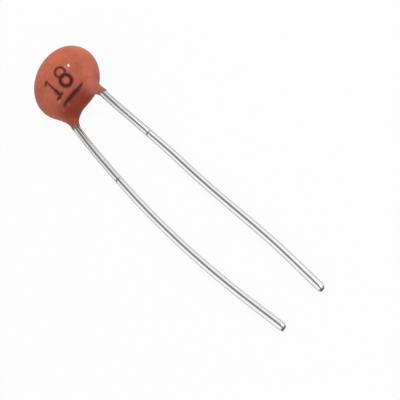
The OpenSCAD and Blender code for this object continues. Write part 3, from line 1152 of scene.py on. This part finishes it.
@dataclass(frozen=True)
class ResinFinish:
    """Orange-red dipped resin: satin, faintly mottled, browner and thinner down the necks.

    Its tone runs from base to light with clouds and specks, a slow gradient of painted light and a
    few patches of painted light and shade. The other colours are laid over it in turn, where their
    fades say, by place or by how far the resin has crept past a neck; the rim colour and the deep
    colour on the web are painted shade. A peel is the scale, detail and share of one noise in the
    bump.
    """

    stamp: InkStamp = InkStamp()
    # painted light and shade: these patches lighten or darken the tone on the right of the face,
    # beside the right neck and on the left
    painted_light_pools: tuple[PaintedLightPool, ...] = (
        PaintedLightPool((2.00, -0.75, 1.55), 1.2, -0.30), PaintedLightPool((2.00, -1.75, 1.1), 0.75, 0.45),
        PaintedLightPool((-1.80, 0.40, 1.2), 2.0, -0.20))
    base: Triple = (0.345, 0.078, 0.038)
    light: Triple = (0.625, 0.152, 0.083)
    blush: Triple = (0.560, 0.165, 0.125)
    # painted shade: deep is the dark colour laid over the low web, whose faces turn down and away
    # from the light
    deep: Triple = (0.262, 0.034, 0.012)
    # painted shade: rim is the dark colour laid in a band round the rim's middle height, a dark edge
    # where the side turns away
    rim: Triple = (0.28, 0.095, 0.062)
    left_neck: Triple = (0.300, 0.062, 0.028)
    right_neck: Triple = (0.395, 0.112, 0.065)
    film: Triple = (0.25, 0.118, 0.074)
    clouds: Grain = Grain(0.8, 3.0, Fade(0.35, 0.65))
    specks: Grain = Grain(4.5, 4.0, Fade(0.35, 0.7), 0.6)
    patches: Grain = Grain(1.3, 3.0, Fade(0.45, 0.65, 0.0, 0.16))
    cloud_share: float = 0.18
    speck_share: float = 0.28
    # painted light: the tone grows lighter along this direction across the face, as if lit from that
    # side
    painted_light_slant: Triple = (0.66, 0.75, 0.0)
    painted_light_fade: Fade = Fade(-2.6, 3.3, -0.04, 0.78)
    rim_z: float = 0.93
    rim_shade_fade: Fade = Fade(0.1, 0.65, 0.3, 0.0)
    web_y: Fade = Fade(-2.25, -1.2, 1.0, 0.0)
    web_shade_z: Fade = Fade(1.0, 1.85, 1.0, 0.0)
    web_shade_x: Fade = Fade(0.3, 1.6, 1.0, 0.0)
    web_shade_left: Fade = Fade(-1.9, -1.2, 0.35, 1.0)
    neck_x: Fade = Fade(-1.0, 1.5)
    neck_creep: Fade = Fade(-1.4, -0.3, 0.0, 0.85)
    film_creep: Fade = Fade(-0.12, 0.1)
    roughness: float = 0.52
    speck_roughness: float = 0.12
    gloss: float = 0.16
    coarse_peel: Triple = (2.6, 1.0, 0.75)
    fine_peel: Triple = (14.0, 2.0, 0.25)
    peel_depth: float = 0.02
    specular: float = 0.24
    coat_roughness: float = 0.1

    def tone(self, graph: Graph, place: Socket, specks: Socket) -> Socket:
        """Adds the nodes that say how light the resin is: random clouds and specks, a painted light
        gradient, and patches of painted light and shade.

        Args:
            graph: The resin's graph.
            place: Place on the part in millimetres.
            specks: The fine mottling.

        Returns:
            The tone, from 0 for the base colour to 1 for the light one.
        """
        tone = graph.math("MULTIPLY_ADD", graph.grain(place, self.clouds), self.cloud_share,
                          graph.times(specks, self.speck_share))
        # painted light: a gradient across the face that stands in for light falling from one side
        across = graph.vector("DOT_PRODUCT", place, self.painted_light_slant)
        tone = graph.math("ADD", tone, graph.band(across, *self.painted_light_fade))
        # painted light and shade: each patch lifts or lowers the tone round its middle
        for light_pool in self.painted_light_pools:
            off = graph.vector("DISTANCE", place, light_pool.place)
            tone = graph.math("ADD", tone, graph.band(off, 0.0, light_pool.radius, light_pool.shift, 0.0))
        return tone

    def colour(self, graph: Graph, place: Socket, specks: Socket) -> Socket:
        """Adds the nodes that colour the resin, from the body outwards, with painted shade on the
        rim and web, and print on it.

        Args:
            graph: The resin's graph.
            place: Place on the part in millimetres.
            specks: The fine mottling.

        Returns:
            The colour.
        """
        x, y, z = graph.split(place)
        creep = stored(graph, "creep")
        # painted shade: from_rim picks the band round the rim's middle height that takes the dark
        # rim colour
        from_rim = graph.math("ABSOLUTE", graph.math("SUBTRACT", z, self.rim_z))
        # painted shade: low picks the web's low, down-turned faces that take the deep colour
        low = graph.math("MAXIMUM", graph.band(z, *self.web_shade_z), graph.band(x, *self.web_shade_x))
        low = graph.times(low, graph.band(x, *self.web_shade_left))
        neck = graph.mix(graph.band(x, *self.neck_x), self.left_neck, self.right_neck)
        colour = graph.mix(self.tone(graph, place, specks), self.base, self.light)
        for factor, over in ((graph.grain(place, self.patches), self.blush),
                             (graph.band(from_rim, *self.rim_shade_fade), self.rim),
                             (graph.times(graph.band(y, *self.web_y), low), self.deep),
                             (graph.band(creep, *self.neck_creep), neck),
                             (graph.band(creep, *self.film_creep), self.film),
                             (self.stamp.cover_on(graph, place), self.stamp.colour)):
            colour = graph.mix(factor, colour, over)
        return colour

    def material(self) -> Material:
        """Builds the resin.

        Returns:
            The material.
        """
        material, graph, shader = shader_graph("dipped_resin")
        place = place_in_mm(graph)
        specks, gloss = graph.grain(place, self.specks), stored(graph, "gloss")
        graph.feed(shader.inputs["Base Color"], self.colour(graph, place, specks))
        rough = graph.math("MULTIPLY_ADD", specks, self.speck_roughness,
                           self.roughness - self.speck_roughness / 2)
        rough = graph.math("MULTIPLY_ADD", gloss, self.gloss - self.roughness, rough)
        graph.feed(shader.inputs["Roughness"], graph.math("MAXIMUM", rough, self.gloss))
        coarse, fine = (graph.times(graph.noise(place, scale, detail), share)
                        for scale, detail, share in (self.coarse_peel, self.fine_peel))
        relief(graph, shader, graph.math("ADD", coarse, fine), self.peel_depth)
        shader.inputs["Specular IOR Level"].default_value = self.specular
        graph.feed(shader.inputs["Coat Weight"], gloss)
        shader.inputs["Coat Roughness"].default_value = self.coat_roughness
        return material


@dataclass(frozen=True)
class WireFinish:
    """Bright tin on drawn copper: fine streaks along the wire, greyer near the body, dark where cut.

    The near-body grey is laid in patches over the first few millimetres past the neck and fades out
    farther along. The cut end and the nick are rougher metal whose dark grey is painted shade, and
    the dark edge tint is painted shade along the wire's edges.
    """

    tin: Triple = (0.87, 0.87, 0.87)
    dull: Triple = (0.70, 0.70, 0.69)
    near_body_grey: Triple = (0.64, 0.64, 0.635)
    # painted shade: cut is the dark grey laid on the sheared end and the nick, for the shade they
    # show
    cut: Triple = (0.20, 0.195, 0.19)
    # painted shade: the metal's grazing reflection is tinted dark grey so the wire's edges read
    # darker
    edge_shade_tint: Triple = (0.1, 0.1, 0.1)
    streaks: Grain = Grain(5.0, 4.0, Fade(0.45, 0.75), 0.65)
    streak_pull: float = 0.25
    streak_depth: float = 0.001
    blotches: Grain = Grain(1.6, 3.0, Fade(0.4, 0.7))
    near_body_patches: Grain = Grain(3.0, 3.0, Fade(0.3, 0.6, 0.7, 1.0))
    near_body_run: Fade = Fade(2.0, 8.0, 1.0, 0.0)
    cut_fade: Fade = Fade(0.45, 0.9)
    roughness: float = 0.20
    streak_roughness: float = 0.12
    worn_roughness: float = 0.3

    def material(self) -> Material:
        """Builds the tinned metal, whose streaks follow the wire's own attributes.

        Returns:
            The material.
        """
        material, graph, shader = shader_graph("bright_tin")
        along, around, cut, dent = (stored(graph, name)
                                    for name in ("along", "around", "cut", "dent"))
        angle = graph.times(around, 2 * math.pi)
        lap = graph.join(graph.math("COSINE", angle), graph.math("SINE", angle),
                         graph.times(along, self.streak_pull))
        streaks = graph.noise(lap, self.streaks.scale, self.streaks.detail,
                              self.streaks.roughness)
        tone = graph.times(graph.band(streaks, *self.streaks.fade),
                           graph.grain(place_in_mm(graph), self.blotches))
        # darker grey in patches over the first few millimetres past the neck
        near_body_grey = graph.times(graph.band(along, *self.near_body_run),
                            graph.grain(lap, self.near_body_patches))
        # painted shade: worn picks the sheared end and the nick, which are rougher metal whose dark
        # grey is painted shade
        worn = graph.math("MAXIMUM", graph.band(cut, *self.cut_fade), dent)
        colour = graph.mix(tone, self.tin, self.dull)
        for factor, over in ((near_body_grey, self.near_body_grey), (worn, self.cut)):
            colour = graph.mix(factor, colour, over)
        graph.feed(shader.inputs["Base Color"], colour)
        shader.inputs["Metallic"].default_value = 1.0
        shader.inputs["Specular Tint"].default_value = (*self.edge_shade_tint, 1)
        rough = graph.math("MULTIPLY_ADD", streaks, self.streak_roughness,
                           self.roughness - self.streak_roughness / 2)
        graph.feed(shader.inputs["Roughness"],
                   graph.math("MULTIPLY_ADD", worn, self.worn_roughness, rough))
        relief(graph, shader, streaks, self.streak_depth)
        return material


@dataclass(frozen=True)
class GrainyFinish:
    """A hidden part's finish: two tones in a fine grain."""

    name: str
    light: Triple
    dark: Triple
    scale: float
    roughness: float
    metallic: float
    depth: float
    detail: float = 4.0
    noise_roughness: float = 0.6
    fade: Fade = Fade(0.3, 0.7)
    dark_roughness: float = 0.15

    def material(self) -> Material:
        """Builds the finish.

        Returns:
            The material.
        """
        material, graph, shader = shader_graph(self.name)
        grain = graph.noise(place_in_mm(graph), self.scale, self.detail, self.noise_roughness)
        tone = graph.band(grain, *self.fade)
        graph.feed(shader.inputs["Base Color"], graph.mix(tone, self.light, self.dark))
        graph.feed(shader.inputs["Roughness"],
                   graph.math("MULTIPLY_ADD", tone, self.dark_roughness, self.roughness))
        shader.inputs["Metallic"].default_value = self.metallic
        relief(graph, shader, grain, self.depth)
        return material


@dataclass(frozen=True)
class HiddenParts:
    """The wafer, its silver and its solder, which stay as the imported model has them."""

    ceramic: GrainyFinish = GrainyFinish("fired_ceramic", (0.46, 0.48, 0.40), (0.36, 0.38, 0.31),
                                         scale=18.0, roughness=0.6, metallic=0.0, depth=0.01)
    silver: GrainyFinish = GrainyFinish("fired_silver", (0.85, 0.85, 0.83), (0.70, 0.70, 0.68),
                                        scale=12.0, roughness=0.38, metallic=1.0, depth=0.006)
    solder: GrainyFinish = GrainyFinish("solder", (0.66, 0.67, 0.68), (0.50, 0.51, 0.53),
                                        scale=5.0, roughness=0.28, metallic=1.0, depth=0.02)

    def dress(self) -> None:
        """Gives each hidden node its finish."""
        for finish, nodes in ((self.ceramic, ("ceramic_disc",)),
                              (self.silver, ("front_electrode", "rear_electrode")),
                              (self.solder, ("front_solder", "rear_solder"))):
            material = finish.material()
            for node in nodes:
                for slot in frame["nodes"][node].material_slots:
                    slot.material = material
                LOG.info("dressed %s in %s", node, finish.name)


@dataclass(frozen=True)
class Studio:
    """Pale floor, a soft lamp, light all round and the camera.

    The lamp's brightness times pi is its power for each square metre of it. What belongs to the
    light all round is given by its direction: x to the right, y to the back and z up.
    """

    floor_size: float = 4000.0
    floor_gap: float = 0.02
    floor_colour: Triple = (0.80, 0.80, 0.80)
    floor_glow: float = 0.93
    lamp_at: Triple = (174.0, 32.0, 218.0)
    lamp_aim: Triple = (0.0, -2.0, 0.0)
    lamp_size: float = 80.0
    lamp_brightness: float = 11.0
    air_glow: float = 1.10
    low_fade: Fade = Fade(0.0, 0.25, 0.85, 1.0)
    front_fade: Fade = Fade(-0.6, 0.0, 0.8, 1.0)
    gap_glow: float = 0.18
    gap_x: float = 0.07
    gap_fade: Fade = Fade(0.20, 0.62, 1.0, 0.0)
    gap_behind: Fade = Fade(-0.25, 0.2)
    camera_at: Triple = (16.260, -44.414, 48.273)
    camera_right: Triple = (0.66, -0.5311, -0.5313)
    camera_down: Triple = (-0.7111, -0.6698, -0.2138)
    camera_clip: Span = (0.005, 10.0)
    focal_px: float = 955.234

    def floor(self) -> None:
        """Lays a pale floor that shows white yet keeps a shadow."""
        half = self.floor_size / 2
        corners = ((-half, -half), (half, -half), (half, half), (-half, half))
        made = mesh_object("floor", np.array([(*c, -self.floor_gap) for c in corners]),
                           [(0, 1, 2, 3)])
        material = bpy.data.materials.new("pale_floor")
        material.use_nodes = True
        graph = Graph(material.node_tree)
        graph.tree.nodes.clear()
        rays = graph.node("ShaderNodeLightPath").outputs
        seen = graph.math("ADD", rays["Is Camera Ray"], rays["Is Glossy Ray"])
        seen = graph.math("ADD", seen, rays["Is Transmission Ray"], clamp=True)
        matt = graph.out("ShaderNodeBsdfDiffuse", {"Color": self.floor_colour})
        white = graph.out("ShaderNodeEmission", {"Color": (1, 1, 1), "Strength": 1.0})
        mixed = graph.out("ShaderNodeMixShader", {
            0: graph.times(seen, self.floor_glow), 1: matt, 2: white})
        graph.node("ShaderNodeOutputMaterial", {"Surface": mixed})
        made.data.materials.append(material)

    def air(self) -> None:
        """Fills the studio with light from above and behind, split by a dark gap overhead."""
        world = bpy.data.worlds.new("studio")
        world.use_nodes = True
        graph = Graph(world.node_tree)
        back = world.node_tree.nodes["Background"]
        x, y, z = graph.split(graph.node("ShaderNodeTexCoord").outputs["Generated"])
        from_gap = graph.math("ABSOLUTE", graph.math("SUBTRACT", x, self.gap_x))
        gap = graph.times(graph.band(from_gap, *self.gap_fade), graph.band(y, *self.gap_behind))
        glow = graph.math("MULTIPLY_ADD", gap, self.gap_glow - 1, 1.0)
        for factor in (graph.band(z, *self.low_fade), graph.band(y, *self.front_fade),
                       self.air_glow):
            glow = graph.times(glow, factor)
        seen = graph.node("ShaderNodeLightPath").outputs["Is Camera Ray"]
        back.inputs["Color"].default_value = (1, 1, 1, 1)
        graph.feed(back.inputs["Strength"], graph.math("MAXIMUM", glow, seen))
        bpy.context.scene.world = world

    def lamp(self) -> None:
        """Hangs the soft lamp."""
        lamp = bpy.data.lights.new("key", "AREA")
        lamp.shape = "RECTANGLE"
        lamp.size = lamp.size_y = self.lamp_size * MM
        lamp.energy = self.lamp_brightness * math.pi * lamp.size * lamp.size_y
        made = bpy.data.objects.new("key", lamp)
        at, to = Vector(self.lamp_at) * MM, Vector(self.lamp_aim) * MM
        made.matrix_world = (Matrix.Translation(at)
                             @ (to - at).to_track_quat("-Z", "Y").to_matrix().to_4x4())
        bpy.context.collection.objects.link(made)

    def camera(self) -> None:
        """Stands the camera over the part, on its web side."""
        data = bpy.data.cameras.new("camera")
        data.sensor_width = SENSOR_MM
        data.lens = self.focal_px / FRAME_PX * SENSOR_MM
        data.clip_start, data.clip_end = self.camera_clip
        made = bpy.data.objects.new("camera", data)
        right, up = Vector(self.camera_right).normalized(), -Vector(self.camera_down)
        back = right.cross(up).normalized()
        turned = Matrix((right, back.cross(right), back)).transposed().to_4x4()
        made.matrix_world = Matrix.Translation(Vector(self.camera_at) * MM) @ turned
        bpy.context.collection.objects.link(made)
        bpy.context.scene.camera = made

    def build(self) -> None:
        """Sets up the whole studio."""
        self.floor()
        self.air()
        self.lamp()
        self.camera()
        bpy.context.scene.view_settings.view_transform = "Standard"


def main() -> None:
    """Builds the part in its studio."""
    logging.basicConfig(level=logging.INFO, format="%(name)s: %(message)s")
    left = LeadShape(Side.LEFT, neck_y=2.95, root_r=0.45, root_draw=0.27, fillet=0.7, splay=0.2,
                     slope=5.0, drift=4.7, length=21.3, bench_bends=((0.0, 9.1),),
                     film=Film(length=0.10, lean=0.12, lean_turn=30.0))
    right = LeadShape(Side.RIGHT, neck_y=3.32, root_r=0.6, root_draw=0.22, fillet=0.4, splay=6.8,
                      slope=12.0, drift=0.0, length=20.9, bench_bends=((4.5, 2.5), (3.5, -3.3)),
                      film=Film(length=0.14, lean=0.10, lean_turn=60.0))
    form = BodyForm(left, right)
    tin = WireFinish().material()
    for piece in (DippedCoating(form).build(ResinFinish().material()),
                  Lead(form, left, nick_at=5.5, burr=0.05).build(tin),
                  Lead(form, right, nick_at=4.72, burr=0.0).build(tin)):
        LOG.info("%s has %d faces", piece.name, len(piece.data.polygons))
    HiddenParts().dress()
    Studio().build()


if __name__ == "__main__":
    main()
